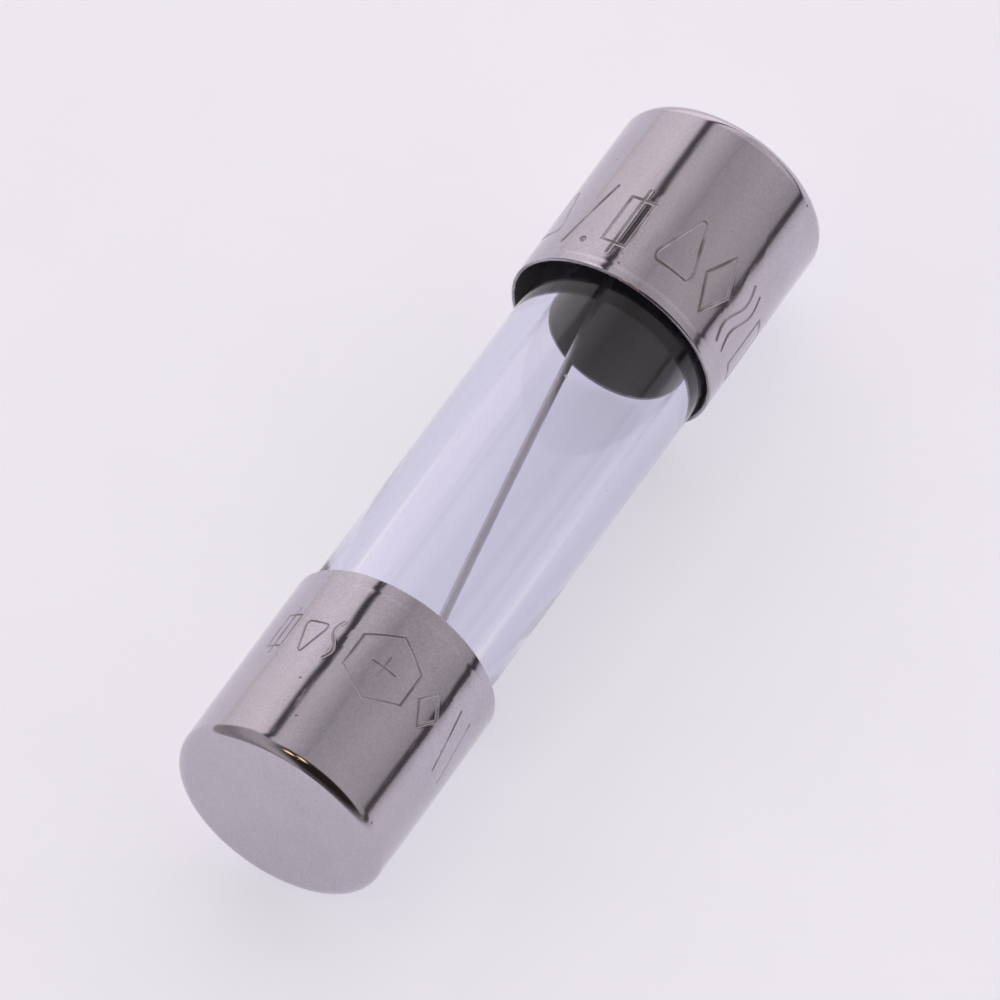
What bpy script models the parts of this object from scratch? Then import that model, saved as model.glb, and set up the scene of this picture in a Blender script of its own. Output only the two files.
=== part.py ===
"""A 5 x 20 mm glass cartridge fuse: a glass tube, two nickel-plated end caps, the fuse wire that runs
across the bore from rim to rim, and the solder slug in each cap that joins the wire to it.

The origin is the fuse's centre. +X runs along the tube from the near cap to the far cap, +Z is up, and
the fuse lies on its side. The folded ends of the wire lie between the glass and the caps, on opposite
sides of the tube, and push each cap sideways by the same small amount.
"""

import math

import bmesh
import bpy

MM = 0.001

# Driving dimensions of the fuse.
FUSE_LENGTH = 20.0 * MM
CAP_DIAMETER = 5.25 * MM
CAP_LENGTH = 5.17 * MM
CAP_WALL = 0.12 * MM
CAP_OFFSET = 0.13 * MM
CAP_BASE = 0.18 * MM
CAP_EDGE_ROUNDING = 0.38 * MM
CAP_INNER_ROUNDING = 0.2 * MM
MOUTH_BAND = 0.32 * MM
MOUTH_GROOVE_DEPTH = 0.015 * MM
GLASS_DIAMETER = 4.6 * MM
BORE_DIAMETER = 3.35 * MM
GLASS_RIM_ROUNDING = 0.2 * MM
WIRE_DIAMETER = 0.24 * MM
WIRE_FOLD_LENGTH = 2.2 * MM
SOLDER_THICKNESS = 0.35 * MM
SOLDER_RISE = 0.3 * MM
SOLDER_RISE_DIAMETER = 2.8 * MM
CLEARANCE = 0.02 * MM

# Sizes that follow from them.
HALF_LENGTH = FUSE_LENGTH / 2
CAP_RADIUS = CAP_DIAMETER / 2
CAP_BORE_RADIUS = CAP_RADIUS - CAP_WALL
CAP_INNER_END = HALF_LENGTH - CAP_BASE
CAP_MOUTH = HALF_LENGTH - CAP_LENGTH
GLASS_RADIUS = GLASS_DIAMETER / 2
BORE_RADIUS = BORE_DIAMETER / 2
WIRE_RADIUS = WIRE_DIAMETER / 2
SOLDER_OUTER_END = CAP_INNER_END - CLEARANCE
SOLDER_INNER_END = SOLDER_OUTER_END - SOLDER_THICKNESS
GLASS_END = SOLDER_INNER_END - CLEARANCE

# How finely the round shapes are cut.
TURN_STEPS = 48
ARC_STEPS = 4
BEND_STEPS = 6
WIRE_SIDES_RESOLUTION = 2
WELD_DISTANCE = 1e-7


def clear_scene():
    for obj in list(bpy.data.objects):
        bpy.data.objects.remove(obj, do_unlink=True)


def new_collection(name):
    collection = bpy.data.collections.new(name)
    bpy.context.scene.collection.children.link(collection)
    return collection


def new_material(name, color, roughness, metallic):
    material = bpy.data.materials.new(name)
    material.use_nodes = True
    shader = material.node_tree.nodes["Principled BSDF"]
    shader.inputs["Base Color"].default_value = (*color, 1.0)
    shader.inputs["Roughness"].default_value = roughness
    shader.inputs["Metallic"].default_value = metallic
    return material


def new_glass_material():
    material = new_material("clear_glass", (0.93, 0.92, 0.97), 0.02, 0.0)
    shader = material.node_tree.nodes["Principled BSDF"]
    shader.inputs["Transmission Weight"].default_value = 1.0
    shader.inputs["IOR"].default_value = 1.5
    return material


def arc(centre, radius, start, end, steps=ARC_STEPS):
    """Points on an arc about centre, from one angle in degrees to the other."""
    points = []
    for i in range(steps + 1):
        angle = math.radians(start + (end - start) * i / steps)
        across = centre[0] + radius * math.cos(angle)
        along = centre[1] + radius * math.sin(angle)
        points.append((across, along))
    return points


def turned(name, profile, side, offset_y, material, collection):
    """Turns a profile of (radius, height) points, and lays its height along -X (side -1) or +X (side 1).

    A profile whose ends both lie on the axis closes there. Any other profile is closed into a ring.
    A flat facet faces down, so that the turned piece rests on it.
    """
    half_step = math.pi / TURN_STEPS
    points = [(r * math.cos(half_step), r * math.sin(half_step), z) for r, z in profile]
    edges = [(i, i + 1) for i in range(len(points) - 1)]
    if profile[0][0] > 0.0:
        edges.append((len(points) - 1, 0))
    mesh = bpy.data.meshes.new(name)
    mesh.from_pydata(points, edges, [])
    mesh.materials.append(material)
    obj = bpy.data.objects.new(name, mesh)
    collection.objects.link(obj)
    obj.location = (0.0, offset_y, 0.0)
    obj.rotation_euler = (0.0, side * math.pi / 2, 0.0)
    turn = obj.modifiers.new("turn", "SCREW")
    turn.axis = "Z"
    turn.angle = 2 * math.pi
    turn.steps = TURN_STEPS
    turn.render_steps = TURN_STEPS
    turn.use_merge_vertices = True
    turn.merge_threshold = WELD_DISTANCE
    turn.use_smooth_shade = True
    return obj


def cap_profile():
    """A drawn cup: flat end, rounded edge, straight barrel, a shallow groove, and a rolled mouth."""
    edge_centre = (CAP_RADIUS - CAP_EDGE_ROUNDING, HALF_LENGTH - CAP_EDGE_ROUNDING)
    inner_centre = (CAP_BORE_RADIUS - CAP_INNER_ROUNDING, CAP_INNER_END - CAP_INNER_ROUNDING)
    lip_radius = CAP_WALL / 2
    lip_centre = (CAP_RADIUS - lip_radius, CAP_MOUTH + lip_radius)
    outside = [(0.0, HALF_LENGTH)]
    outside += arc(edge_centre, CAP_EDGE_ROUNDING, 90, 0)
    for height, depth in ((1.6, 0.0), (1.0, MOUTH_GROOVE_DEPTH), (0.6, 0.0)):
        outside.append((CAP_RADIUS - depth, CAP_MOUTH + height * MOUTH_BAND))
    lip = arc(lip_centre, lip_radius, 0, -180)
    inside = arc(inner_centre, CAP_INNER_ROUNDING, 0, 90)
    inside.append((0.0, CAP_INNER_END))
    return outside + lip + inside


def glass_profile():
    """The section of the tube's wall, with both ends rounded."""
    outer = GLASS_RADIUS - GLASS_RIM_ROUNDING
    inner = BORE_RADIUS + GLASS_RIM_ROUNDING
    shoulder = GLASS_END - GLASS_RIM_ROUNDING
    return (
        arc((outer, shoulder), GLASS_RIM_ROUNDING, 90, 0)
        + arc((outer, -shoulder), GLASS_RIM_ROUNDING, 0, -90)
        + arc((inner, -shoulder), GLASS_RIM_ROUNDING, -90, -180)
        + arc((inner, shoulder), GLASS_RIM_ROUNDING, 180, 90)
    )


def solder_profile():
    """A slug that fills the closed end of the cap and swells a little way into the tube's bore."""
    outer = CAP_BORE_RADIUS - CLEARANCE
    corner = (outer - CAP_INNER_ROUNDING, SOLDER_OUTER_END - CAP_INNER_ROUNDING)
    rise = SOLDER_RISE_DIAMETER / 2
    foot = (rise - SOLDER_RISE, SOLDER_INNER_END)
    slug = [(0.0, SOLDER_OUTER_END)]
    slug += arc(corner, CAP_INNER_ROUNDING, 90, 0)
    slug.append((outer, SOLDER_INNER_END))
    slug += arc(foot, SOLDER_RISE, 0, -90)
    slug.append((0.0, SOLDER_INNER_END - SOLDER_RISE))
    return slug


def wire_half_route():
    """The far half of the wire, from the fold's free end, round the rim, to the fuse's centre.

    Points are (y, x). The bend keeps one clearance from the rounded rim, and the straight run from
    rim to rim is the line through the centre that touches the bend's inner side.
    """
    reach = GLASS_RIM_ROUNDING + CLEARANCE + WIRE_RADIUS
    outer = GLASS_RADIUS - GLASS_RIM_ROUNDING
    inner = BORE_RADIUS + GLASS_RIM_ROUNDING
    shoulder = GLASS_END - GLASS_RIM_ROUNDING
    towards_bend = math.atan2(inner, shoulder)
    lean = math.degrees(towards_bend - math.asin(reach / math.hypot(inner, shoulder)))
    route = [(outer + reach, shoulder - WIRE_FOLD_LENGTH)]
    route += arc((outer, shoulder), reach, 0, 90, BEND_STEPS)
    route += arc((inner, shoulder), reach, 90, 180 - lean, BEND_STEPS)
    return route


def wire_curve(name, radius, collection):
    """The whole wire, which is the far half and the same half turned about the fuse's centre."""
    half = wire_half_route()
    points = [(x, y, 0.0) for y, x in half]
    points += [(-x, -y, 0.0) for y, x in reversed(half)]
    data = bpy.data.curves.new(name, "CURVE")
    data.dimensions = "3D"
    data.bevel_depth = radius
    data.bevel_resolution = WIRE_SIDES_RESOLUTION
    data.use_fill_caps = True
    spline = data.splines.new("POLY")
    spline.points.add(len(points) - 1)
    for target, point in zip(spline.points, points):
        target.co = (*point, 1.0)
        target.radius = 1.0
    spline.use_smooth = True
    obj = bpy.data.objects.new(name, data)
    collection.objects.link(obj)
    return obj


def wire_cutter(collection):
    """The space that the wire needs in the solder, as a closed mesh one clearance thicker."""
    curve = wire_curve("wire_space_curve", WIRE_RADIUS + CLEARANCE, collection)
    bpy.context.view_layer.update()
    graph = bpy.context.evaluated_depsgraph_get()
    mesh = bpy.data.meshes.new_from_object(curve.evaluated_get(graph))
    shape = bmesh.new()
    shape.from_mesh(mesh)
    bmesh.ops.remove_doubles(shape, verts=shape.verts, dist=WELD_DISTANCE)
    bmesh.ops.recalc_face_normals(shape, faces=shape.faces)
    shape.to_mesh(mesh)
    shape.free()
    cutter = bpy.data.objects.new("wire_space", mesh)
    cutter.matrix_world = curve.matrix_world
    cutter.display_type = "WIRE"
    cutter.hide_render = True
    collection.objects.link(cutter)
    bpy.data.objects.remove(curve, do_unlink=True)
    return cutter


def cut(obj, cutter):
    groove = obj.modifiers.new("wire_groove", "BOOLEAN")
    groove.operation = "DIFFERENCE"
    groove.solver = "EXACT"
    groove.object = cutter


def build_glass_tube(collection):
    turned("glass_tube", glass_profile(), 1, 0.0, new_glass_material(), collection)


def build_fuse_wire(collection):
    wire = wire_curve("fuse_wire", WIRE_RADIUS, collection)
    wire.data.materials.append(new_material("tinned_wire", (0.42, 0.41, 0.40), 0.35, 1.0))


def build_end(place, side, cutter, collection):
    """One cap and its solder, on the side of the tube that the wire's fold pushes them towards."""
    offset_y = side * CAP_OFFSET
    nickel = new_material(f"nickel_{place}", (0.66, 0.63, 0.64), 0.2, 1.0)
    solder = new_material(f"solder_{place}", (0.55, 0.55, 0.57), 0.45, 1.0)
    turned(f"end_cap_{place}", cap_profile(), side, offset_y, nickel, collection)
    slug = turned(f"solder_{place}", solder_profile(), side, offset_y, solder, collection)
    cut(slug, cutter)


def main():
    clear_scene()
    fuse = new_collection("cartridge_fuse")
    cutter = wire_cutter(new_collection("cutters"))
    build_glass_tube(fuse)
    build_fuse_wire(fuse)
    build_end("near", -1, cutter, fuse)
    build_end("far", 1, cutter, fuse)


main()
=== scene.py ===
"""The looks of a 5 x 20 mm glass cartridge fuse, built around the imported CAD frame.

+X runs along the tube from the near cap to the far cap, and +Z is up. An angle round the fuse is
measured about +X, from +Z at zero towards -Y at 90 degrees.
"""

import math

import bmesh
import bpy
import numpy as np
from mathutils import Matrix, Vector


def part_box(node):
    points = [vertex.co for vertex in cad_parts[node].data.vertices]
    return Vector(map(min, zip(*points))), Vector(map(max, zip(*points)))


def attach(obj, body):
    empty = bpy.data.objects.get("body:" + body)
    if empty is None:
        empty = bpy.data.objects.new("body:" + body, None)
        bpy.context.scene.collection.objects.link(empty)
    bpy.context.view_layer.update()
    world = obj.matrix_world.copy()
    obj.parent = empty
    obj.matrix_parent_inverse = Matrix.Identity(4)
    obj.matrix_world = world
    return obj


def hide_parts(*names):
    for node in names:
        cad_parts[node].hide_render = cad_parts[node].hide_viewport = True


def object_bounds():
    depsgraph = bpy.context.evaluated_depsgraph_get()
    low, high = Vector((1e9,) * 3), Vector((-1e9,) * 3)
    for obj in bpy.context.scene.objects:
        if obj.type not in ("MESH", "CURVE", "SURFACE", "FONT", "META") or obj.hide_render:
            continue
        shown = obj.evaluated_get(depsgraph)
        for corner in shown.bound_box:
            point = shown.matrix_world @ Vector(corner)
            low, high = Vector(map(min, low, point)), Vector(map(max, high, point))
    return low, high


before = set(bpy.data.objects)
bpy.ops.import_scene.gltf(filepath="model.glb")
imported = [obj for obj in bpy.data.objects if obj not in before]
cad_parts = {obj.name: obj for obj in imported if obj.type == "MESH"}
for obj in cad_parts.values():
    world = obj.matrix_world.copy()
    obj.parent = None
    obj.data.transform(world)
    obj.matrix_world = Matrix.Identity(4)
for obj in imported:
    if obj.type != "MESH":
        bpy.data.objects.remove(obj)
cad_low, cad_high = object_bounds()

MM = 0.001
NEAR = -1
FAR = 1
# The gap between neighbouring solids, as in the CAD.
CLEARANCE = 0.02 * MM
# Distances in metres. Places closer than the first count as one, points closer than the second are merged,
# and a step shorter than the third is left out of an outline. The last stands for "nowhere near".
SAME_PLACE = 1e-7
MERGE_DISTANCE = 1e-8
SHORTEST_STEP = 1e-10
FAR_AWAY = 1.0
# A cap's wall is measured this close to its mouth.
MOUTH_ZONE = 0.2 * MM

# How finely the pieces are cut: columns go round, rows go along.
CAP_COLUMNS = 280
CAP_CELL = 0.058 * MM
FACE_ROWS = 22
EDGE_ROWS = 16
LIP_ROWS = 20
BORE_ROWS = 14
CORNER_ROWS = 6
BOTTOM_ROWS = 4
STROKE_CUTS = 3
PROFILE_STEP = 0.002 * MM
NORMAL_STEP = 0.003 * MM
SMALLEST_RADIUS_SHARE = 0.02
GLASS_COLUMNS = 256
GLASS_ROUNDING_POINTS = 9
WIRE_SIDES = 24
WIRE_FOLD_POINTS = 12
WIRE_BEND_POINTS = 10
WIRE_RIM_POINTS = 11
WIRE_SPAN_POINTS = 40
SOLDER_COLUMNS = 96
SOLDER_ROWS = 26

# The stamped marks: a groove with a raised edge, in a shallow dent. The far cap's are the deeper ones.
# BURR_MIDDLE, BURR_WIDTH and both reaches after them are in half-widths of a stroke.
NEAR_STROKES = {"from_mouth": 1.92 * MM, "half_width": 0.035 * MM, "depth": 0.012 * MM}
FAR_STROKES = {"from_mouth": 1.50 * MM, "half_width": 0.048 * MM, "depth": 0.020 * MM}
BURR_HEIGHT = 0.001 * MM
BURR_MIDDLE = 1.25
BURR_WIDTH = 0.35
# The first reach is how far a groove is dull and darkened, partly by dirt and partly by painted shade.
GROOVE_WEAR_AND_SHADE_REACH = 1.3
REFINED_REACH = 1.9
REFINED_MARGIN = 0.6 * CAP_CELL
DENT_DEPTH = 0.006 * MM
DENT_REACH = 0.34 * MM
# A groove is from half to all of its depth, because the die pressed unevenly: it varies by this share
# either way, below its full depth.
PRESSING_SHARE = 0.25
PRESSING_LENGTHS = (0.6 * MM, 1.6 * MM)

# The drawn cups aren't quite true, which bends their reflections. Lengths are those of the waves.
SWAY_HEIGHT = 0.018 * MM
SWAY_LENGTHS = (5.0 * MM, 9.0 * MM)
RIPPLE_HEIGHT = 0.0022 * MM
RIPPLE_LENGTHS = (1.5 * MM, 4.0 * MM)
RIPPLE_WAVES = 14

# A faint groove runs round each cup near its mouth, and the lip is worn.
MOUTH_BAND = 0.32 * MM
MOUTH_GROOVE = 0.0045 * MM
MOUTH_GROOVE_WIDTH = 0.07 * MM
LIP_WEAR = 0.8

# The wire bows a little, and it is a tenth thinner than the CAD's, as the photograph has it.
WIRE_THINNING = 0.90
WIRE_BOW = 0.045 * MM
WIRE_KINK = 0.012 * MM
WIRE_KINK_DIRECTION = np.array([0.0, 0.5, 0.8])
WIRE_KINK_LENGTHS = (2.5 * MM, 7.0 * MM)
WIRE_SWELLING = 0.025
WIRE_SWELLING_LENGTHS = (0.5 * MM, 1.6 * MM)

# The solder's dome keeps off the bore, and rises round the wire, which enters near the bore's side.
SOLDER_FOOT_GAP = 0.07 * MM
SOLDER_CORNER = 0.2 * MM
SOLDER_BACK_MIDDLE = 0.001 * MM
SOLDER_TOP = 0.0005 * MM
SOLDER_SQUARENESS = 0.5
SOLDER_LUMPS = 0.07
SOLDER_LUMP_LENGTHS = (0.8 * MM, 2.6 * MM)
SOLDER_CREEP = 0.16 * MM
SOLDER_CREEP_REACH = 0.14 * MM
WIRE_ENTRY = 0.9

# The seeds of all unevenness. A cap's side is added to the first two, and a step to a cap's own.
CAP_SEED = 30
SOLDER_SEED = 21
RIPPLE_SEED_STEP = 5
PRESSING_SEED_STEP = 9
KINK_SEED = 11
SWELLING_SEED = 12

# The camera looks from above the near cap's end, on the -Y side.
CAMERA_AZIMUTH = math.radians(-59.0)
CAMERA_ELEVATION = math.radians(54.7)
CAMERA_DISTANCE = 357 * MM
CAMERA_LENS = 578.8
CAMERA_AIM = Vector((-0.089, 0.028, -0.044)) * MM
CAMERA_SENSOR = 36.0
FACING_CAMERA = math.radians(20.0)

# The clear tube's many inner reflections need more bounces than Cycles' defaults.
MOST_BOUNCES = 24
MOST_GLASS_BOUNCES = 20


# ---------------------------------------------------------------- sizes read from the frame


def points_of(node):
    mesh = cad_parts[node].data
    flat = np.empty(len(mesh.vertices) * 3, np.float32)
    mesh.vertices.foreach_get("co", flat)
    return flat.reshape(-1, 3).astype(float)


class Tube:
    """The glass tube's sizes."""

    def __init__(self, node):
        points = points_of(node)
        radii = np.hypot(points[:, 1], points[:, 2])
        self.radius = radii.max()
        self.bore = radii.min()
        self.end = points[:, 0].max()
        barrel = points[radii > self.radius - SAME_PLACE]
        self.rounding = self.end - barrel[:, 0].max()


class Cap:
    """One cap's sizes. along means the distance from the fuse's centre, on the cap's own side."""

    def __init__(self, node, side):
        low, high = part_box(node)
        points = points_of(node)
        self.side = side
        self.centre = (low.y + high.y) / 2
        radii = np.hypot(points[:, 1] - self.centre, points[:, 2])
        along = side * points[:, 0]
        self.radius = (high.z - low.z) / 2
        self.end = along.max()
        self.mouth = along.min()
        self.wall = radii.max() - radii[along < self.mouth + MOUTH_ZONE].min()
        self.edge = radii.max() - radii[along > self.end - SAME_PLACE].max()
        start = Vector((side * self.mouth, self.centre, 0.0))
        _, floor, _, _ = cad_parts[node].ray_cast(start, Vector((side, 0.0, 0.0)))
        self.inner_end = side * floor.x


class Wire:
    """The wire's sizes, and the gap that it keeps from the glass."""

    def __init__(self, node, tube):
        low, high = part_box(node)
        points = points_of(node)
        self.radius = (high.z - low.z) / 2
        self.gap = high.y - 2 * self.radius - tube.radius
        self.fold_start = points[points[:, 1] > tube.radius][:, 0].min()


tube = Tube("glass_tube")
near_cap = Cap("end_cap_near", NEAR)
far_cap = Cap("end_cap_far", FAR)
wire = Wire("fuse_wire", tube)


# ---------------------------------------------------------------- outlines


def arc(centre, radius, start, end):
    """Points on an arc about centre, from one angle in degrees to the other, one profile step apart."""
    count = max(4, int(radius * math.radians(abs(end - start)) / PROFILE_STEP))
    angles = np.radians(np.linspace(start, end, count))
    return np.stack([centre[0] + radius * np.cos(angles), centre[1] + radius * np.sin(angles)], axis=1)


def line(start, end):
    count = max(2, int(math.dist(start, end) / PROFILE_STEP))
    return np.linspace(start, end, count)


class Outline:
    """A profile of (radius, along) points that can be read at any distance along it."""

    def __init__(self, *stretches):
        points = np.concatenate(stretches)
        steps = np.linalg.norm(np.diff(points, axis=0), axis=1)
        self.points = points[np.concatenate([[True], steps > SHORTEST_STEP])]
        steps = np.linalg.norm(np.diff(self.points, axis=0), axis=1)
        self.distances = np.concatenate([[0.0], np.cumsum(steps)])
        self.length = self.distances[-1]
        self.ends = np.cumsum([np.linalg.norm(np.diff(s, axis=0), axis=1).sum() for s in stretches])
        run = np.gradient(self.points, self.distances, axis=0)
        size = np.linalg.norm(run, axis=1)
        self.normals = np.stack([-run[:, 1], run[:, 0]], axis=1) / size[:, None]

    def at(self, distance):
        """The radius, along and outward normal there."""
        radius = np.interp(distance, self.distances, self.points[:, 0])
        along = np.interp(distance, self.distances, self.points[:, 1])
        normal_radius = np.interp(distance, self.distances, self.normals[:, 0])
        normal_along = np.interp(distance, self.distances, self.normals[:, 1])
        return radius, along, normal_radius, normal_along


def cap_outline(cap):
    """From the middle of the end face, over the edge, along the barrel, round the lip and back inside."""
    edge = (cap.radius - cap.edge, cap.end - cap.edge)
    lip_radius = cap.wall / 2
    lip = (cap.radius - lip_radius, cap.mouth + lip_radius)
    inner_rounding = cap.edge - cap.wall
    bore = cap.radius - cap.wall
    corner = (bore - inner_rounding, cap.inner_end - inner_rounding)
    return Outline(
        line((0.0, cap.end), (edge[0], cap.end)),
        arc(edge, cap.edge, 90, 0),
        line((cap.radius, edge[1]), (cap.radius, lip[1])),
        arc(lip, lip_radius, 0, -180),
        line((bore, lip[1]), (bore, corner[1])),
        arc(corner, inner_rounding, 0, 90),
        line((corner[0], cap.inner_end), (0.0, cap.inner_end)),
    )


# ---------------------------------------------------------------- the stamped marks


def polygon(corners, radius, turn=0.0):
    """A closed regular polygon. Marks are drawn in millimetres: first round the cap, then along it."""
    angles = [turn + 360.0 * i / corners for i in range(corners + 1)]
    return [(radius * math.cos(math.radians(a)), radius * math.sin(math.radians(a))) for a in angles]


def rounded_triangle(size, rounding):
    """A closed triangle whose corners are arcs."""
    points = []
    for corner in (90.0, 210.0, 330.0):
        middle_x = (size - rounding) * math.cos(math.radians(corner))
        middle_y = (size - rounding) * math.sin(math.radians(corner))
        for i in range(5):
            angle = math.radians(corner - 60.0 + 30.0 * i)
            points.append((middle_x + rounding * math.cos(angle), middle_y + rounding * math.sin(angle)))
    return points + points[:1]


def rectangle(width, height):
    x = width / 2
    y = height / 2
    return [(-x, -y), (x, -y), (x, y), (-x, y), (-x, -y)]


def wave(length, height, turns=1.0, steps=14):
    points = []
    for i in range(steps + 1):
        part = i / steps
        points.append((length * (part - 0.5), height * math.sin(2 * math.pi * turns * part)))
    return points


def shifted(path, across=0.0, along=0.0):
    return [(x + across, y + along) for x, y in path]


def turned_by(path, degrees):
    c = math.cos(math.radians(degrees))
    s = math.sin(math.radians(degrees))
    return [(x * c - y * s, x * s + y * c) for x, y in path]


def stretched(path, across, along):
    return [(x * across, y * along) for x, y in path]


def fuse_symbol(width, height):
    """The circuit symbol of a fuse: a box with a line through it."""
    reach = height * 0.72
    return [rectangle(width, height), [(0.0, -reach), (0.0, reach)]]


def bar_and_dot():
    return [[(-0.30, -0.90), (0.20, 0.90)], shifted(polygon(6, 0.06), 0.28, -0.80)]


def double_wave():
    one = turned_by(wave(1.7, 0.14), 90)
    return [shifted(one, -0.18), shifted(one, 0.18)]


def crossed_hexagon():
    return [polygon(6, 0.92, 30), [(-0.30, 0.0), (0.30, 0.0)], [(0.0, -0.30), (0.0, 0.30)]]


# Each mark is its angle in degrees from the side that faces the camera, and its paths.
FAR_MARKS = (
    (-52, bar_and_dot()),
    (-29, fuse_symbol(0.62, 1.35)),
    (3, [stretched(rounded_triangle(1.0, 0.2), 0.55, 0.95)]),
    (27, [stretched(polygon(4, 1.0), 0.40, 0.85)]),
    (50, double_wave()),
    (75, [rectangle(0.66, 1.40)]),
    (-78, [stretched(rounded_triangle(1.0, 0.2), 0.50, 0.85)]),
    (-103, [polygon(6, 0.55)]),
)
NEAR_MARKS = (
    (0, crossed_hexagon()),
    (-29, [turned_by(wave(1.05, 0.11), 86)]),
    (-42, [stretched(rounded_triangle(1.0, 0.2), 0.32, 0.55)]),
    (-60, fuse_symbol(0.42, 0.95)),
    (31, [stretched(polygon(4, 1.0), 0.34, 0.50)]),
    (54, [[(-0.25, -0.75), (0.15, 0.70)]]),
    (66, [[(-0.25, -0.85), (0.15, 0.60)]]),
)


class Strokes:
    """All of one cap's marks, as segments in metres round the barrel and from its mouth."""

    def __init__(self, cap, marks, from_mouth, half_width, depth):
        self.half_width = half_width
        self.depth = depth
        starts = []
        ends = []
        for degrees, paths in marks:
            middle = (FACING_CAMERA + math.radians(degrees)) * cap.radius
            for path in paths:
                flat = [(middle + x * MM, from_mouth + y * MM) for x, y in path]
                starts += flat[:-1]
                ends += flat[1:]
        self.starts = np.array(starts)
        self.runs = np.array(ends) - self.starts

    def distance(self, around, from_mouth):
        """How far each point is from the nearest stroke."""
        nearest = np.full(len(around), FAR_AWAY)
        for start, run in zip(self.starts, self.runs):
            x = around - start[0]
            y = from_mouth - start[1]
            part = np.clip((x * run[0] + y * run[1]) / (run @ run), 0.0, 1.0)
            nearest = np.minimum(nearest, np.hypot(x - part * run[0], y - part * run[1]))
        return nearest


# ---------------------------------------------------------------- the stamped caps


class Ripple:
    """A smooth unevenness: the sum of long waves in all directions, from -1 to 1."""

    def __init__(self, seed, shortest, longest):
        random = np.random.default_rng(seed)
        directions = random.normal(size=(RIPPLE_WAVES, 3))
        directions /= np.linalg.norm(directions, axis=1)[:, None]
        lengths = random.uniform(shortest, longest, RIPPLE_WAVES)
        self.waves = directions * (2 * math.pi / lengths)[:, None]
        self.phases = random.uniform(0.0, 2 * math.pi, RIPPLE_WAVES)

    def at(self, points):
        total = np.zeros(len(points))
        for number, phase in zip(self.waves, self.phases):
            total += np.sin(points @ number + phase)
        return np.clip(total / math.sqrt(2 * RIPPLE_WAVES), -1.0, 1.0)


class CapSurface:
    """Gives the cap's surface at any angle and any distance along its outline."""

    def __init__(self, cap, strokes, seed):
        self.cap = cap
        self.outline = cap_outline(cap)
        self.strokes = strokes
        self.sway = Ripple(seed, *SWAY_LENGTHS)
        self.ripple = Ripple(seed + RIPPLE_SEED_STEP, *RIPPLE_LENGTHS)
        self.pressing = Ripple(seed + PRESSING_SEED_STEP, *PRESSING_LENGTHS)
        self.lip_start = self.outline.ends[2]
        self.inside_start = self.outline.ends[3]

    def from_mouth(self, distance):
        return self.lip_start + self.cap.wall / 2 - distance

    def stroke_distance(self, angle, distance):
        """How far each point is from the nearest stroke. Off the barrel it is far away."""
        on_barrel = (distance > self.outline.ends[1]) & (distance < self.lip_start)
        found = np.full(len(angle), FAR_AWAY)
        around = angle[on_barrel] * self.cap.radius
        found[on_barrel] = self.strokes.distance(around, self.from_mouth(distance[on_barrel]))
        return found

    def relief(self, angle, distance, points):
        """How far the surface stands out from the outline. It is never above zero, so it stays in the CAD."""
        depth = SWAY_HEIGHT * (self.sway.at(points) - 1.0)
        depth += RIPPLE_HEIGHT * (self.ripple.at(points) - 1.0) - BURR_HEIGHT
        near = self.stroke_distance(angle, distance)
        across = near / self.strokes.half_width
        groove = np.where(across < 1.0, 0.5 + 0.5 * np.cos(math.pi * across), 0.0)
        burr = np.exp(-(((across - BURR_MIDDLE) / BURR_WIDTH) ** 2))
        dent = np.exp(-((near / DENT_REACH) ** 2))
        pressed = 1.0 - PRESSING_SHARE + PRESSING_SHARE * self.pressing.at(points)
        depth += BURR_HEIGHT * burr - self.strokes.depth * pressed * groove - DENT_DEPTH * dent
        from_band = self.from_mouth(distance) - MOUTH_BAND
        depth -= MOUTH_GROOVE * np.exp(-((from_band / MOUTH_GROOVE_WIDTH) ** 2))
        fade = np.clip((self.inside_start - distance) / self.cap.wall, 0.0, 1.0)
        return depth * fade

    def points(self, angle, distance):
        """The surface's points: those of the outline, moved along its normals by the relief."""
        radius, along, normal_radius, normal_along = self.outline.at(distance)
        out = np.stack([np.zeros(len(angle)), -np.sin(angle), np.cos(angle)], axis=1)
        axis = np.array([self.cap.side, 0.0, 0.0])
        middle = np.array([0.0, self.cap.centre, 0.0])
        base = middle + out * radius[:, None] + axis * along[:, None]
        normal = out * normal_radius[:, None] + axis * normal_along[:, None]
        return base + normal * self.relief(angle, distance, base)[:, None]

    def normals(self, angle, distance):
        """The true surface's normals, from points a small step apart."""
        turn = NORMAL_STEP / self.cap.radius
        inner = np.clip(distance, NORMAL_STEP, self.outline.length - NORMAL_STEP)
        turn /= np.maximum(self.outline.at(inner)[0] / self.cap.radius, SMALLEST_RADIUS_SHARE)
        across = self.points(angle + turn, inner) - self.points(angle - turn, inner)
        down = self.points(angle, inner + NORMAL_STEP) - self.points(angle, inner - NORMAL_STEP)
        found = np.cross(down, across)
        found /= np.linalg.norm(found, axis=1)[:, None]
        _, _, rise, run = self.outline.at(inner)
        out = np.stack([run * self.cap.side, -np.sin(angle) * rise, np.cos(angle) * rise], axis=1)
        found *= np.sign((found * out).sum(axis=1))[:, None]
        pole = (distance < NORMAL_STEP) | (distance > self.outline.length - NORMAL_STEP)
        found[pole] = out[pole] / np.linalg.norm(out[pole], axis=1)[:, None]
        return found


def cap_rows(surface):
    """Distances along the outline where the cap's rings of points lie."""
    ends = surface.outline.ends
    barrel_rows = int((ends[2] - ends[1]) / CAP_CELL)
    counts = (FACE_ROWS, EDGE_ROWS, barrel_rows, LIP_ROWS, BORE_ROWS, CORNER_ROWS, BOTTOM_ROWS)
    rows = []
    start = 0.0
    for end, count in zip(ends, counts):
        rows += list(np.linspace(start, end, count + 1)[:-1])
        start = end
    return rows + [ends[-1]]


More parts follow.
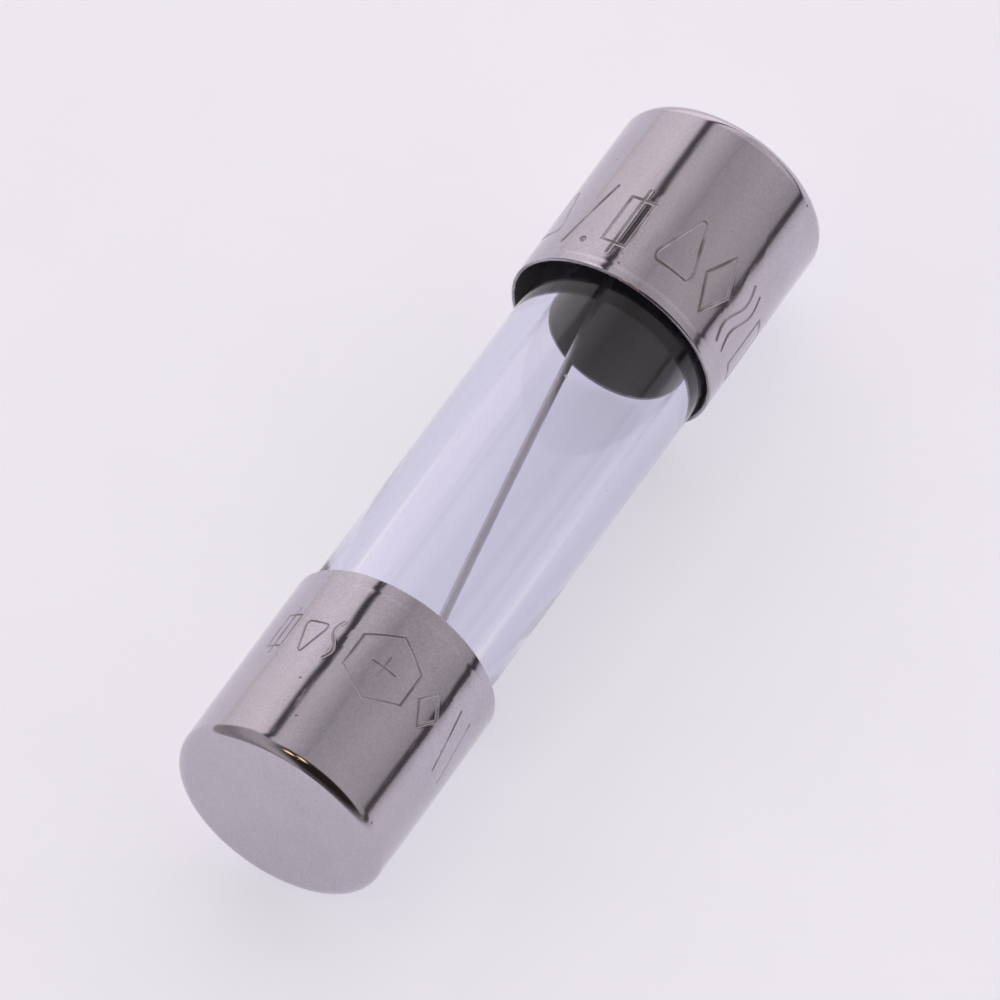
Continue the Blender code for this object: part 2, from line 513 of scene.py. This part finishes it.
def flat_grid(rows):
    """The cap's surface laid flat: x is the angle, from the bottom once round, and y is the distance."""
    grid = bmesh.new()
    angles = np.linspace(-math.pi, math.pi, CAP_COLUMNS + 1)
    lines = [[grid.verts.new((angle, row, 0.0)) for angle in angles] for row in rows]
    for first, second in zip(lines, lines[1:]):
        for i in range(CAP_COLUMNS):
            grid.faces.new((first[i], first[i + 1], second[i + 1], second[i]))
    return grid


def refine_near_strokes(grid, surface):
    """Cuts the faces that a stroke crosses into small ones."""
    grid.faces.ensure_lookup_table()
    middles = np.array([face.calc_center_median()[:2] for face in grid.faces])
    near = surface.stroke_distance(middles[:, 0], middles[:, 1])
    reach = surface.strokes.half_width * REFINED_REACH + REFINED_MARGIN
    edges = set()
    for index in np.flatnonzero(near < reach):
        edges.update(grid.faces[index].edges)
    bmesh.ops.subdivide_edges(grid, edges=list(edges), cuts=STROKE_CUTS, use_grid_fill=True)


def wear_and_shade_of(surface, angle, distance):
    """How dull and dark the plating is: one in a groove, LIP_WEAR on the worn lip, and elsewhere nothing. The
    dark in a groove is partly brownish dirt and partly painted shade.
    """
    from_stroke = surface.stroke_distance(angle, distance) / surface.strokes.half_width
    # In and just beside a groove the value stands for dirt and for painted shade.
    in_groove = np.clip(GROOVE_WEAR_AND_SHADE_REACH - from_stroke, 0.0, 1.0)
    on_lip = (distance > surface.lip_start + surface.cap.wall / 2) & (distance < surface.inside_start)
    return np.maximum(in_groove, LIP_WEAR * on_lip)


def build_cap(name, surface, outside, inside):
    """A stamped cup, with its true normals, and its wear and painted groove shade, stored on its points."""
    grid = flat_grid(cap_rows(surface))
    refine_near_strokes(grid, surface)
    flat = np.array([vertex.co[:2] for vertex in grid.verts])
    angle = flat[:, 0]
    distance = flat[:, 1]
    points = surface.points(angle, distance)
    normals = surface.normals(angle, distance)
    wear_and_shade_values = wear_and_shade_of(surface, angle, distance)
    normal_layer = grid.verts.layers.float_vector.new("true_normal")
    # This layer carries the lip's wear and the grooves' dirt and painted shade.
    wear_and_shade_layer = grid.verts.layers.float.new("wear_and_shade")
    for face in grid.faces:
        face.smooth = True
        face.material_index = int(face.calc_center_median().y > surface.inside_start)
    for vertex, point, normal, wear_and_shade in zip(grid.verts, points, normals, wear_and_shade_values):
        vertex.co = point
        vertex[normal_layer] = normal
        vertex[wear_and_shade_layer] = wear_and_shade
    bmesh.ops.remove_doubles(grid, verts=grid.verts, dist=MERGE_DISTANCE)
    bmesh.ops.recalc_face_normals(grid, faces=grid.faces)
    mesh = bpy.data.meshes.new(name)
    grid.to_mesh(mesh)
    grid.free()
    mesh.materials.append(outside)
    mesh.materials.append(inside)
    stored = np.empty(len(mesh.vertices) * 3, np.float32)
    mesh.attributes["true_normal"].data.foreach_get("vector", stored)
    mesh.normals_split_custom_set_from_vertices(stored.reshape(-1, 3).tolist())
    mesh.attributes.remove(mesh.attributes["true_normal"])
    return link(name, mesh)


def link(name, data):
    piece = bpy.data.objects.new(name, data)
    bpy.context.scene.collection.objects.link(piece)
    return piece


# ---------------------------------------------------------------- turned and drawn pieces


def ring_mesh(name, rings, close_rings, material):
    """A mesh through rings of equally many points. close_rings joins the last ring to the first."""
    rings = [np.asarray(ring) for ring in rings]
    count = len(rings[0])
    points = np.concatenate(rings)
    faces = []
    pairs = list(zip(range(len(rings) - 1), range(1, len(rings))))
    if close_rings:
        pairs.append((len(rings) - 1, 0))
    for first, second in pairs:
        for i in range(count):
            after = (i + 1) % count
            near_side = (first * count + i, first * count + after)
            faces.append(near_side + (second * count + after, second * count + i))
    if not close_rings:
        faces.append(tuple(range(count)))
        faces.append(tuple(range((len(rings) - 1) * count, len(rings) * count)))
    mesh = bpy.data.meshes.new(name)
    mesh.from_pydata(points.tolist(), [], faces)
    shape = bmesh.new()
    shape.from_mesh(mesh)
    bmesh.ops.remove_doubles(shape, verts=shape.verts, dist=MERGE_DISTANCE)
    bmesh.ops.recalc_face_normals(shape, faces=shape.faces)
    for face in shape.faces:
        face.smooth = True
    shape.to_mesh(mesh)
    shape.free()
    mesh.materials.append(material)
    return link(name, mesh)


def circle(radius, x, count, centre=0.0):
    """Points round a circle across the X axis, whose middle is at y = centre."""
    angles = np.linspace(0.0, 2 * math.pi, count, endpoint=False)
    return np.stack([np.full(count, x), centre - radius * np.sin(angles), radius * np.cos(angles)], axis=1)


def build_glass(name, tube, material):
    """The tube's wall, with fire-polished ends."""
    outer = tube.radius - tube.rounding
    inner = tube.bore + tube.rounding
    shoulder = tube.end - tube.rounding
    corners = (
        (outer, shoulder, 90, 0),
        (outer, -shoulder, 0, -90),
        (inner, -shoulder, -90, -180),
        (inner, shoulder, 180, 90),
    )
    rings = []
    for radius, along, start, end in corners:
        for bend in np.radians(np.linspace(start, end, GLASS_ROUNDING_POINTS)):
            ring_radius = radius + tube.rounding * math.cos(bend)
            ring_x = along + tube.rounding * math.sin(bend)
            rings.append(circle(ring_radius, ring_x, GLASS_COLUMNS))
    return ring_mesh(name, rings, True, material)


def wire_route(wire, tube):
    """Points (x, y) from the far fold's free end, round both rims, to the near fold's free end."""
    reach = tube.rounding + wire.gap + wire.radius
    outer = tube.radius - tube.rounding
    inner = tube.bore + tube.rounding
    shoulder = tube.end - tube.rounding
    lean = math.atan2(inner, shoulder) - math.asin(reach / math.hypot(inner, shoulder))
    folded = np.linspace(wire.fold_start, shoulder, WIRE_FOLD_POINTS)[:-1]
    half = [(along, outer + reach) for along in folded]
    for bend in np.radians(np.linspace(0, 90, WIRE_BEND_POINTS)):
        half.append((shoulder + reach * math.sin(bend), outer + reach * math.cos(bend)))
    for bend in np.radians(np.linspace(90, 180 - math.degrees(lean), WIRE_RIM_POINTS)[1:]):
        half.append((shoulder + reach * math.sin(bend), inner + reach * math.cos(bend)))
    last = np.array(half[-1])
    straight = [tuple(last * part) for part in np.linspace(1.0, 0.0, WIRE_SPAN_POINTS)[1:]]
    whole = half + straight
    whole += [(-x, -y) for x, y in reversed(whole[:-1])]
    return np.array(whole)


def build_wire(name, wire, tube, material):
    """The drawn wire, with the small kinks and swellings left by handling and tinning."""
    route = wire_route(wire, tube)
    runs = np.gradient(route, axis=0)
    runs /= np.linalg.norm(runs, axis=1)[:, None]
    angles = np.linspace(0.0, 2 * math.pi, WIRE_SIDES, endpoint=False)
    up = np.array([0.0, 0.0, 1.0])
    kinks = Ripple(KINK_SEED, *WIRE_KINK_LENGTHS)
    swelling = Ripple(SWELLING_SEED, *WIRE_SWELLING_LENGTHS)
    rings = []
    for (x, y), (run_x, run_y) in zip(route, runs):
        place = np.array([[x, y, 0.0]])
        free = np.clip((tube.end - abs(x)) / tube.end, 0.0, 1.0)
        bow = WIRE_BOW * (1.0 - (x / tube.end) ** 2) if abs(x) < tube.end else 0.0
        kink = WIRE_KINK_DIRECTION * WIRE_KINK * free * kinks.at(place)[0]
        middle = place[0] + np.array([0.0, bow, 0.0]) + kink
        radius = wire.radius * (WIRE_THINNING + WIRE_SWELLING * swelling.at(place)[0])
        side = np.array([-run_y, run_x, 0.0])
        rings.append(middle + radius * (np.cos(angles)[:, None] * side + np.sin(angles)[:, None] * up))
    return ring_mesh(name, rings, False, material)


def solder_body(cap, tube):
    """Rings from the middle of the slug's back, round its outside, to the tube's end."""
    outer = cap.radius - cap.wall - CLEARANCE
    back = cap.inner_end - CLEARANCE
    front = tube.end + CLEARANCE
    profile = (
        (SOLDER_BACK_MIDDLE, back),
        (outer * 0.5, back),
        (outer - SOLDER_CORNER, back),
        (outer, back - SOLDER_CORNER),
        (outer, front),
        (tube.bore + tube.rounding, front),
    )
    return [circle(radius, cap.side * along, SOLDER_COLUMNS, cap.centre) for radius, along in profile]


def solder_dome(cap, height, tube):
    """Rings of the dome in the tube's bore, with lumps, drawn up round the wire."""
    lumps = Ripple(SOLDER_SEED + cap.side, *SOLDER_LUMP_LENGTHS)
    wire_y = cap.side * tube.bore * WIRE_ENTRY
    foot = tube.bore - SOLDER_FOOT_GAP
    rings = []
    for part in np.linspace(0.0, 1.0, SOLDER_ROWS):
        climb = part * math.pi / 2
        radius = foot * max(math.cos(climb), 0.0) ** SOLDER_SQUARENESS
        ring = circle(max(radius, SOLDER_TOP), cap.side * (tube.end + CLEARANCE), SOLDER_COLUMNS)
        rise = height * math.sin(climb) ** SOLDER_SQUARENESS
        rise = rise * (1.0 - SOLDER_LUMPS + SOLDER_LUMPS * lumps.at(ring))
        if part > 0:
            from_wire = np.hypot(ring[:, 1] - wire_y, ring[:, 2])
            rise += SOLDER_CREEP * np.exp(-from_wire / SOLDER_CREEP_REACH)
        ring[:, 0] -= cap.side * np.minimum(rise, height)
        rings.append(ring)
    return rings


def build_solder(name, cap, height, tube, material):
    """The solder that fills a cap's end."""
    return ring_mesh(name, solder_body(cap, tube) + solder_dome(cap, height, tube), False, material)


# ---------------------------------------------------------------- materials


class Nodes:
    """Adds shader nodes to a tree. A value is a number, a colour or another node's output."""

    def __init__(self, tree):
        self.tree = tree

    def add(self, kind, **values):
        node = self.tree.nodes.new(kind)
        for name, value in values.items():
            setattr(node, name, value)
        return node

    def feed(self, socket, value):
        if isinstance(value, bpy.types.NodeSocket):
            self.tree.links.new(value, socket)
        else:
            socket.default_value = value

    def math(self, operation, first, second=0.0):
        node = self.add("ShaderNodeMath", operation=operation)
        self.feed(node.inputs[0], first)
        self.feed(node.inputs[1], second)
        return node.outputs[0]

    def smooth(self, value, low, high, out_low=0.0, out_high=1.0):
        """Eases from out_low to out_high as value goes from low to high."""
        node = self.add("ShaderNodeMapRange", interpolation_type="SMOOTHSTEP")
        for socket, given in zip(node.inputs, (value, low, high, out_low, out_high)):
            self.feed(socket, given)
        return node.outputs[0]

    def scaled(self, source, scale):
        node = self.add("ShaderNodeMapping")
        self.feed(node.inputs["Vector"], source)
        node.inputs["Scale"].default_value = scale
        return node.outputs[0]

    def noise(self, source, scale, detail=2.0, roughness=0.5):
        node = self.add("ShaderNodeTexNoise")
        self.feed(node.inputs["Vector"], source)
        node.inputs["Scale"].default_value = scale
        node.inputs["Detail"].default_value = detail
        node.inputs["Roughness"].default_value = roughness
        return node.outputs["Fac"]

    def cells(self, source, scale):
        """The distance to the nearest of many scattered points, in cells."""
        node = self.add("ShaderNodeTexVoronoi")
        self.feed(node.inputs["Vector"], source)
        node.inputs["Scale"].default_value = scale
        return node.outputs["Distance"]

    def mix(self, amount, first, second, blend="MIX"):
        node = self.add("ShaderNodeMix", data_type="RGBA", blend_type=blend)
        colours = [socket for socket in node.inputs if socket.type == "RGBA"]
        self.feed(node.inputs[0], amount)
        self.feed(colours[0], first)
        self.feed(colours[1], second)
        return [socket for socket in node.outputs if socket.type == "RGBA"][0]

    def bump(self, height, distance, before=None):
        node = self.add("ShaderNodeBump")
        self.feed(node.inputs["Height"], height)
        node.inputs["Distance"].default_value = distance
        node.inputs["Strength"].default_value = 1.0
        if before is not None:
            self.feed(node.inputs["Normal"], before)
        return node.outputs["Normal"]


def new_material(name):
    """A node material, its shader, its node helper and object coordinates in metres."""
    material = bpy.data.materials.new(name)
    material.use_nodes = True
    nodes = Nodes(material.node_tree)
    shader = material.node_tree.nodes["Principled BSDF"]
    place = nodes.add("ShaderNodeTexCoord").outputs["Object"]
    return material, shader, nodes, place


def opaque(colour, factor=1.0):
    """The colour, made lighter or darker by factor, as the four numbers that a socket takes."""
    return (colour[0] * factor, colour[1] * factor, colour[2] * factor, 1.0)


NICKEL_TINT = (0.521, 0.490, 0.551)
NICKEL_WARM = (0.512, 0.474, 0.515)
PIT_COLOUR = (0.12, 0.10, 0.11)
# A dark brown for worn lips and grooves: wear and dirt, and in the grooves also painted shade.
WEAR_AND_SHADE_COLOUR = (0.16, 0.122, 0.11)


def nickel_material():
    """Bright nickel plate: drawing lines round the cup, fine scratches, pits, dull worn lips, and dull
    grooves darkened partly by dirt and partly by painted shade.
    """
    material, shader, nodes, place = new_material("nickel_plate")
    wear_and_shade = nodes.add("ShaderNodeAttribute", attribute_name="wear_and_shade").outputs["Fac"]
    mottle = nodes.noise(place, 900.0, 3.0)
    clouds = nodes.noise(place, 220.0, 2.0)
    lines = nodes.noise(nodes.scaled(place, (26000.0, 700.0, 700.0)), 1.0, 3.0, 0.6)
    scratches = nodes.noise(nodes.scaled(place, (1500.0, 9000.0, 16000.0)), 1.0, 2.0, 0.6)
    specks = nodes.smooth(nodes.cells(place, 2100.0), 0.030, 0.10, 1.0, 0.0)
    patches = nodes.smooth(nodes.noise(place, 650.0, 1.0), 0.52, 0.60)
    pits = nodes.math("MULTIPLY", specks, patches)
    mottled = nodes.smooth(mottle, 0.3, 0.7)
    plain = nodes.mix(mottled, opaque(NICKEL_TINT, 0.965), opaque(NICKEL_TINT, 1.03))
    grain = nodes.smooth(nodes.noise(place, 15000.0, 2.0, 0.6), 0.3, 0.7, 0.93, 1.07)
    plain = nodes.mix(1.0, plain, grain, "MULTIPLY")
    warm = nodes.mix(nodes.smooth(clouds, 0.35, 0.7, 0.0, 0.5), plain, opaque(NICKEL_WARM))
    pitted = nodes.mix(nodes.math("MULTIPLY", pits, 0.55), warm, opaque(PIT_COLOUR))
    # Lips and grooves are mixed towards dark brown: wear and dirt, and in the grooves painted shade.
    worn_and_shaded_by = nodes.smooth(nodes.noise(place, 1400.0, 2.0), 0.38, 0.62, 0.25, 0.80)
    worn_and_shaded = nodes.mix(nodes.math("MULTIPLY", wear_and_shade, worn_and_shaded_by), pitted, opaque(WEAR_AND_SHADE_COLOUR))
    nodes.feed(shader.inputs["Base Color"], worn_and_shaded)
    shader.inputs["Metallic"].default_value = 1.0
    rough = nodes.smooth(clouds, 0.3, 0.7, 0.07, 0.11)
    rough = nodes.math("ADD", rough, nodes.smooth(scratches, 0.55, 0.75, 0.0, 0.10))
    rough = nodes.math("ADD", rough, nodes.math("MULTIPLY", wear_and_shade, 0.22))
    rough = nodes.math("ADD", rough, nodes.math("MULTIPLY", pits, 0.3))
    nodes.feed(shader.inputs["Roughness"], rough)
    fine = nodes.bump(lines, 0.00025 * MM)
    fine = nodes.bump(mottle, 0.0016 * MM, fine)
    fine = nodes.bump(nodes.math("MULTIPLY", pits, -1.0), 0.004 * MM, fine)
    nodes.feed(shader.inputs["Normal"], fine)
    return material


INSIDE_DARK = (0.20, 0.185, 0.17)
INSIDE_LIGHT = (0.38, 0.36, 0.335)


def inside_material():
    """The unpolished inside of a cup, dulled by flux."""
    material, shader, nodes, place = new_material("nickel_inside")
    stain = nodes.noise(place, 700.0, 4.0, 0.6)
    stained = nodes.mix(stain, opaque(INSIDE_DARK), opaque(INSIDE_LIGHT))
    nodes.feed(shader.inputs["Base Color"], stained)
    shader.inputs["Metallic"].default_value = 0.4
    nodes.feed(shader.inputs["Roughness"], nodes.smooth(stain, 0.3, 0.7, 0.32, 0.5))
    lines = nodes.noise(nodes.scaled(place, (300.0, 6000.0, 6000.0)), 1.0, 3.0)
    nodes.feed(shader.inputs["Normal"], nodes.bump(lines, 0.003 * MM))
    return material


GLASS_TINT = (0.907, 0.905, 0.980)
GLASS_EDGE_TINT = (0.578, 0.592, 0.767)
GLASS_EDGE_FACING = (0.37, 0.43)
GLASS_SKIN = 0.1 * MM


def glass_edge(nodes, place):
    """One where the tube's outer surface is seen edge-on, through much glass, and elsewhere nothing."""
    parts = nodes.add("ShaderNodeSeparateXYZ")
    nodes.feed(parts.inputs[0], place)
    across = nodes.math("POWER", parts.outputs["Y"], 2.0)
    up = nodes.math("POWER", parts.outputs["Z"], 2.0)
    radius = nodes.math("SQRT", nodes.math("ADD", across, up))
    outside = nodes.smooth(radius, tube.bore + GLASS_SKIN, tube.radius - GLASS_SKIN)
    facing = nodes.add("ShaderNodeLayerWeight").outputs["Facing"]
    return nodes.math("MULTIPLY", nodes.smooth(facing, *GLASS_EDGE_FACING), outside)


def glass_material():
    """Clear glass with a faint violet tint, smudges, dust specks and drawing lines along the tube."""
    material, shader, nodes, place = new_material("clear_glass")
    tint = nodes.mix(glass_edge(nodes, place), opaque(GLASS_TINT), opaque(GLASS_EDGE_TINT))
    nodes.feed(shader.inputs["Base Color"], tint)
    shader.inputs["Transmission Weight"].default_value = 1.0
    shader.inputs["IOR"].default_value = 1.5
    smudge = nodes.smooth(nodes.noise(place, 320.0, 3.0), 0.52, 0.72, 0.0, 0.02)
    specks = nodes.smooth(nodes.cells(place, 900.0), 0.02, 0.05, 0.35, 0.0)
    nodes.feed(shader.inputs["Roughness"], nodes.math("ADD", smudge, specks))
    lines = nodes.noise(nodes.scaled(place, (60.0, 1800.0, 1800.0)), 1.0, 2.0)
    nodes.feed(shader.inputs["Normal"], nodes.bump(lines, 0.0004 * MM))
    return material


TIN_DARK = (0.50, 0.485, 0.50)
TIN_LIGHT = (0.78, 0.76, 0.77)


def wire_material():
    """Tinned wire: bright flecks on a dull grey, with drawing lines along it."""
    material, shader, nodes, place = new_material("tinned_wire")
    flecks = nodes.noise(place, 5200.0, 3.0, 0.6)
    nodes.feed(shader.inputs["Base Color"], nodes.mix(flecks, opaque(TIN_DARK), opaque(TIN_LIGHT)))
    shader.inputs["Metallic"].default_value = 1.0
    nodes.feed(shader.inputs["Roughness"], nodes.smooth(flecks, 0.3, 0.7, 0.28, 0.48))
    lines = nodes.noise(nodes.scaled(place, (500.0, 22000.0, 22000.0)), 1.0, 3.0)
    uneven = nodes.bump(lines, 0.002 * MM)
    nodes.feed(shader.inputs["Normal"], nodes.bump(flecks, 0.004 * MM, uneven))
    return material


SOLDER_DARK = (0.165, 0.165, 0.190)
SOLDER_LIGHT = (0.300, 0.300, 0.335)
FLUX_COLOUR = (0.12, 0.10, 0.09)


def solder_material():
    """Solder that cooled slowly: satin, grainy, and darkened by flux."""
    material, shader, nodes, place = new_material("solder")
    grain = nodes.noise(place, 2600.0, 4.0, 0.6)
    flux = nodes.smooth(nodes.noise(place, 600.0, 2.0), 0.4, 0.65)
    metal = nodes.mix(grain, opaque(SOLDER_DARK), opaque(SOLDER_LIGHT))
    stained = nodes.mix(nodes.math("MULTIPLY", flux, 0.5), metal, opaque(FLUX_COLOUR))
    nodes.feed(shader.inputs["Base Color"], stained)
    shader.inputs["Metallic"].default_value = 1.0
    nodes.feed(shader.inputs["Roughness"], nodes.smooth(grain, 0.3, 0.7, 0.34, 0.52))
    nodes.feed(shader.inputs["Normal"], nodes.bump(grain, 0.01 * MM))
    return material


# The floor's front edge lies at this y. It glows fully behind FLOOR_FULL_GLOW, and less towards the edge,
# but the camera sees it evenly lit.
FLOOR_FRONT = -0.032
FLOOR_REACH = 0.15
FLOOR_FULL_GLOW = -0.009
FLOOR_GLOW = 0.51
FLOOR_FRONT_SHARE = 0.3
PAPER_DARK = (0.70, 0.69, 0.745)
PAPER_LIGHT = (0.73, 0.72, 0.775)
GLOW_DARK = (0.97, 0.955, 1.03)
GLOW_LIGHT = (1.0, 0.985, 1.06)


def floor_material():
    """Pale paper on a light table, so that the fuse's shadow stays faint."""
    material, shader, nodes, place = new_material("pale_floor")
    fibre = nodes.noise(place, 260.0, 4.0, 0.6)
    nodes.feed(shader.inputs["Base Color"], nodes.mix(fibre, opaque(PAPER_DARK), opaque(PAPER_LIGHT)))
    shader.inputs["Roughness"].default_value = 0.85
    shader.inputs["Specular IOR Level"].default_value = 0.1
    nodes.feed(shader.inputs["Emission Color"], nodes.mix(fibre, opaque(GLOW_DARK), opaque(GLOW_LIGHT)))
    parts = nodes.add("ShaderNodeSeparateXYZ")
    nodes.feed(parts.inputs[0], place)
    front_glow = FLOOR_FRONT_SHARE * FLOOR_GLOW
    glow = nodes.smooth(parts.outputs["Y"], FLOOR_FRONT, FLOOR_FULL_GLOW, front_glow, FLOOR_GLOW)
    camera_ray = nodes.add("ShaderNodeLightPath").outputs["Is Camera Ray"]
    even = nodes.math("MULTIPLY", camera_ray, FLOOR_GLOW)
    nodes.feed(shader.inputs["Emission Strength"], nodes.math("MAXIMUM", glow, even))
    nodes.feed(shader.inputs["Normal"], nodes.bump(fibre, 0.02 * MM))
    return material


# ---------------------------------------------------------------- light, floor and camera

# The studio, as brightness against the angle round the fuse's axis in degrees: from -180 on the +Y side,
# over the floor's front (-90 to 0), up the -Y side, overhead at 90, and down the +Y side to 180. Towards +X
# stands a white tent with two dark seams, and towards -X a dim room.
TENT = (
    (-180, 0.87),
    (-90, 0.84),
    (-20, 0.60),
    (-10, 0.36),
    (-5.0, 0.08),
    (-0.5, 0.08),
    (3.0, 0.48),
    (21, 0.60),
    (42, 0.63),
    (62, 0.56),
    (75, 0.54),
    (81, 0.47),
    (91, 0.61),
    (106, 0.79),
    (115.3, 0.76),
    (118.6, 0.08),
    (124.2, 0.08),
    (127.6, 0.98),
    (142, 1.12),
    (158, 1.06),
    (173, 1.00),
    (180, 0.87),
)
ROOM = (
    (-180, 0.55),
    (-155, 0.80),
    (-60, 0.80),
    (-24, 0.63),
    (-8, 0.42),
    (4, 0.20),
    (15, 0.13),
    (88, 0.13),
    (107, 0.40),
    (130, 0.58),
    (145, 0.54),
    (160, 0.34),
    (180, 0.42),
)
SKY_TINT = (0.904, 0.843, 0.861)
# The tent's edge lies between these parts of a direction along X. Between BACK_START and BACK_END, in turns
# round the axis from -180 degrees, it moves over to BACK_SHIFT further towards +X.
TENT_EDGE = (-0.30, -0.06)
BACK_START = (105 + 180) / 360
BACK_END = (140 + 180) / 360
BACK_SHIFT = 0.46
# The tent is brighter near its far end.
BRIGHT_START = 0.53
BRIGHT_END = 0.62
BRIGHTNESS = 1.35
# The room has a dark spot where the photographer stood, and two small lamps. The spots' sizes are the
# angles in degrees at which they begin to fade and end.
SHADE_PLACE = Vector((-0.35, -0.50, 0.79)).normalized()
SHADE_SIZE = (34, 57)
SHADE_COLOUR = (0.026, 0.022, 0.019)
LAMP_PLACES = (Vector((-0.48, 0.10, 0.87)).normalized(), Vector((-0.38, -0.14, 0.91)).normalized())
LAMP_SIZE = (1.5, 7.0)
LAMP_COLOUR = (2.2, 1.5, 0.8)
BACKDROP = (0.844, 0.805, 0.864)


def turn_ramp(nodes, turn, values):
    """Reads a table of brightness against degrees. turn is the angle, from 0 at -180 to 1 at 180."""
    ramp = nodes.add("ShaderNodeValToRGB")
    nodes.feed(ramp.inputs[0], turn)
    stops = ramp.color_ramp.elements
    for index, (degrees, value) in enumerate(values):
        place = (degrees + 180) / 360
        stop = stops[index] if index < 2 else stops.new(place)
        stop.position = place
        stop.color = (value, value, value, 1.0)
    return ramp.outputs[0]


def spot(nodes, direction, centre, inner, outer):
    """One within inner degrees of centre, easing to nothing at outer degrees."""
    towards = nodes.add("ShaderNodeVectorMath", operation="DOT_PRODUCT")
    nodes.feed(towards.inputs[0], direction)
    towards.inputs[1].default_value = centre
    outside = math.cos(math.radians(outer))
    inside = math.cos(math.radians(inner))
    return nodes.smooth(towards.outputs["Value"], outside, inside)


def build_world():
    """A studio as the fuse reflects it. The camera itself sees a plain pale backdrop."""
    world = bpy.data.worlds.new("studio")
    world.use_nodes = True
    bpy.context.scene.world = world
    nodes = Nodes(world.node_tree)
    background = world.node_tree.nodes["Background"]
    direction = nodes.add("ShaderNodeTexCoord").outputs["Generated"]
    parts = nodes.add("ShaderNodeSeparateXYZ")
    nodes.feed(parts.inputs[0], direction)
    x, y, z = parts.outputs
    angle = nodes.math("ARCTAN2", z, nodes.math("MULTIPLY", y, -1.0))
    turn = nodes.math("ADD", nodes.math("MULTIPLY", angle, 1 / (2 * math.pi)), 0.5)
    back = nodes.smooth(turn, BACK_START, BACK_END, 0.0, BACK_SHIFT)
    tent_side = nodes.smooth(nodes.math("SUBTRACT", x, back), *TENT_EDGE)
    bright = nodes.smooth(x, BRIGHT_START, BRIGHT_END, 1.0, BRIGHTNESS)
    tent = nodes.mix(1.0, turn_ramp(nodes, turn, TENT), bright, "MULTIPLY")
    plain = nodes.mix(tent_side, turn_ramp(nodes, turn, ROOM), tent)
    tinted = nodes.mix(1.0, plain, opaque(SKY_TINT), "MULTIPLY")
    shade = spot(nodes, direction, SHADE_PLACE, *SHADE_SIZE)
    shade = nodes.math("MULTIPLY", shade, nodes.math("SUBTRACT", 1.0, tent_side))
    seen = nodes.mix(shade, tinted, opaque(SHADE_COLOUR))
    for lamp in LAMP_PLACES:
        seen = nodes.mix(spot(nodes, direction, lamp, *LAMP_SIZE), seen, opaque(LAMP_COLOUR))
    camera_ray = nodes.add("ShaderNodeLightPath").outputs["Is Camera Ray"]
    nodes.feed(background.inputs["Color"], nodes.mix(camera_ray, seen, opaque(BACKDROP)))


def build_floor(low):
    """A flat sheet at the object's lowest height, with its front edge close to the object."""
    left = -FLOOR_REACH
    right = FLOOR_REACH
    mesh = bpy.data.meshes.new("floor")
    front_corners = [(left, FLOOR_FRONT, low.z), (right, FLOOR_FRONT, low.z)]
    back_corners = [(right, FLOOR_REACH, low.z), (left, FLOOR_REACH, low.z)]
    mesh.from_pydata(front_corners + back_corners, [], [(0, 1, 2, 3)])
    mesh.materials.append(floor_material())
    floor = link("floor", mesh)


def build_camera(low, high):
    """A long lens far away, because the photograph has little perspective."""
    middle = (low + high) / 2
    away = Vector(
        (
            math.sin(CAMERA_AZIMUTH) * math.cos(CAMERA_ELEVATION),
            -math.cos(CAMERA_AZIMUTH) * math.cos(CAMERA_ELEVATION),
            math.sin(CAMERA_ELEVATION),
        )
    )
    data = bpy.data.cameras.new("camera")
    data.lens = CAMERA_LENS
    data.sensor_width = CAMERA_SENSOR
    data.clip_start = 0.01
    data.clip_end = 10.0
    camera = link("camera", data)
    camera.location = middle + CAMERA_AIM + away * CAMERA_DISTANCE
    camera.rotation_euler = (-away).to_track_quat("-Z", "Y").to_euler()
    bpy.context.scene.camera = camera


def stand_for(piece, node):
    """Puts the piece on the only body, and hides the CAD node that it stands for."""
    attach(piece, "root")
    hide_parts(node)


def build_end(place, cap, strokes, outside, inside, solder):
    """One stamped cup and the solder in it."""
    surface = CapSurface(cap, strokes, CAP_SEED + cap.side)
    cup = build_cap(f"stamped_cap_{place}", surface, outside, inside)
    stand_for(cup, f"end_cap_{place}")
    low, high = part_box(f"solder_{place}")
    height = tube.end + CLEARANCE - min(abs(low.x), abs(high.x))
    slug = build_solder(f"solder_slug_{place}", cap, height, tube, solder)
    stand_for(slug, f"solder_{place}")


def main():
    scene = bpy.context.scene
    scene.view_settings.view_transform = "Standard"
    scene.cycles.max_bounces = MOST_BOUNCES
    scene.cycles.glossy_bounces = MOST_GLASS_BOUNCES
    scene.cycles.transmission_bounces = MOST_GLASS_BOUNCES
    build_camera(cad_low, cad_high)
    build_world()
    build_floor(cad_low)
    outside = nickel_material()
    inside = inside_material()
    solder = solder_material()
    near_strokes = Strokes(near_cap, NEAR_MARKS, **NEAR_STROKES)
    far_strokes = Strokes(far_cap, FAR_MARKS, **FAR_STROKES)
    build_end("near", near_cap, near_strokes, outside, inside, solder)
    build_end("far", far_cap, far_strokes, outside, inside, solder)
    stand_for(build_glass("drawn_glass", tube, glass_material()), "glass_tube")
    stand_for(build_wire("drawn_wire", wire, tube, wire_material()), "fuse_wire")


main()
